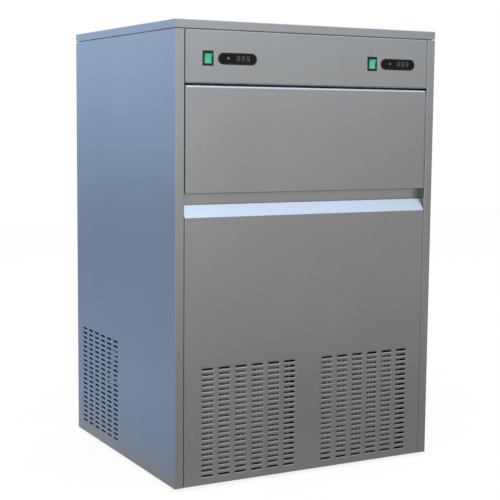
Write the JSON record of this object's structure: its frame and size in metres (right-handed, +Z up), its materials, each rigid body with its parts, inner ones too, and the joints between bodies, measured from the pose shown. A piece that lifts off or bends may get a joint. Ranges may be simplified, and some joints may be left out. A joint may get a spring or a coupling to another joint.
{
  "type": "finger ice machine",
  "caption": "Free-standing stainless finger ice machine with a lift-up ice door over an insulated bin, twin switches and displays, and slotted vents.",
  "frame": {"origin": "on the floor, in the middle of the footprint, with the rear fittings and the front switches counted", "axes": "+Z up, -Y out of the front, +X to the right of someone facing the front"},
  "size_m": [0.664, 0.6114, 1.008],
  "materials": {
    "stainless": "satin",
    "zinc_sheet": "satin",
    "foam": "matte",
    "liner_plastic": "gloss",
    "gasket_rubber": "matte",
    "nylon": "matte",
    "steel_pin": "polished",
    "switch_plastic": "gloss",
    "rocker_green": "gloss",
    "display_plastic": "gloss",
    "display_window": "gloss",
    "nickel_copper": "satin",
    "copper": "satin",
    "tray_plastic": "matte",
    "fins": "satin",
    "black_enamel": "satin",
    "black_rubber": "matte",
    "black_plastic": "matte",
    "brass_fitting": "satin",
    "hose": "satin"
  },
  "bodies": {
    "cabinet": {"base_pan": "zinc_sheet", "glide_feet": "black_rubber", "left_side_panel": "stainless", "right_side_panel": "stainless", "back_panel": "zinc_sheet", "top_lid": "stainless", "lid_insulation": "foam", "control_fascia": "stainless", "lower_front_panel": "stainless", "door_frame": "stainless", "bin_shelf": "zinc_sheet", "bin_liner": "liner_plastic", "bin_insulation": "foam", "hinge_pins": "steel_pin", "evaporator_rack": "stainless", "ice_slide": "stainless", "water_tank": "tray_plastic", "compressor_mounts": "black_rubber", "electrical_box": "black_plastic", "water_inlet_valve": "brass_fitting", "inlet_hose": "hose", "drain_pipe": "hose", "cable_gland": "black_plastic", "switch_housing_left": "switch_plastic", "display_housing_left": "display_plastic", "display_lens_left": "display_window", "evaporator_left": "nickel_copper", "tilt_motor_left": "black_enamel", "water_pump_left": "black_plastic", "condenser_left": "fins", "fan_shroud_left": "zinc_sheet", "fan_motor_left": "black_enamel", "compressor_left": "black_enamel", "suction_line_left": "black_rubber", "liquid_line_left": "copper", "discharge_line_left": "copper", "switch_housing_right": "switch_plastic", "display_housing_right": "display_plastic", "display_lens_right": "display_window", "evaporator_right": "nickel_copper", "tilt_motor_right": "black_enamel", "water_pump_right": "black_plastic", "condenser_right": "fins", "fan_shroud_right": "zinc_sheet", "fan_motor_right": "black_enamel", "compressor_right": "black_enamel", "suction_line_right": "black_rubber", "liquid_line_right": "copper", "discharge_line_right": "copper"},
    "door": {"door_skin": "stainless", "door_core": "foam", "door_liner": "liner_plastic", "door_gasket": "gasket_rubber", "hinge_bushes": "nylon"},
    "tray_left": {"water_tray_left": "tray_plastic"},
    "fan_left": {"fan_rotor_left": "black_plastic"},
    "rocker_left": {"switch_rocker_left": "rocker_green"},
    "tray_right": {"water_tray_right": "tray_plastic"},
    "fan_right": {"fan_rotor_right": "black_plastic"},
    "rocker_right": {"switch_rocker_right": "rocker_green"}
  },
  "joints": [
    {"name": "door_hinge", "type": "hinge", "parent": "cabinet", "child": "door", "pos_m": [0, -0.28931, 0.862], "axis": [-1, 0, 0], "range_deg": [0, 95]},
    {"name": "tray_left_tilt", "type": "hinge", "parent": "cabinet", "child": "tray_left", "pos_m": [-0.139, 0.13169, 0.898], "axis": [1, 0, 0], "range_deg": [0, 80]},
    {"name": "fan_left_spin", "type": "hinge", "parent": "cabinet", "child": "fan_left", "pos_m": [-0.1518, -0.20531, 0.134], "axis": [0, 1, 0], "continuous": true},
    {"name": "rocker_left_switch", "type": "hinge", "parent": "cabinet", "child": "rocker_left", "pos_m": [-0.2572, -0.29831, 0.929], "axis": [1, 0, 0], "range_deg": [-18, 0]},
    {"name": "tray_right_tilt", "type": "hinge", "parent": "cabinet", "child": "tray_right", "pos_m": [0.139, 0.13169, 0.898], "axis": [1, 0, 0], "range_deg": [0, 80]},
    {"name": "fan_right_spin", "type": "hinge", "parent": "cabinet", "child": "fan_right", "pos_m": [0.1518, -0.20531, 0.134], "axis": [0, 1, 0], "continuous": true},
    {"name": "rocker_right_switch", "type": "hinge", "parent": "cabinet", "child": "rocker_right", "pos_m": [0.1568, -0.29831, 0.929], "axis": [1, 0, 0], "range_deg": [-18, 0]}
  ]
}
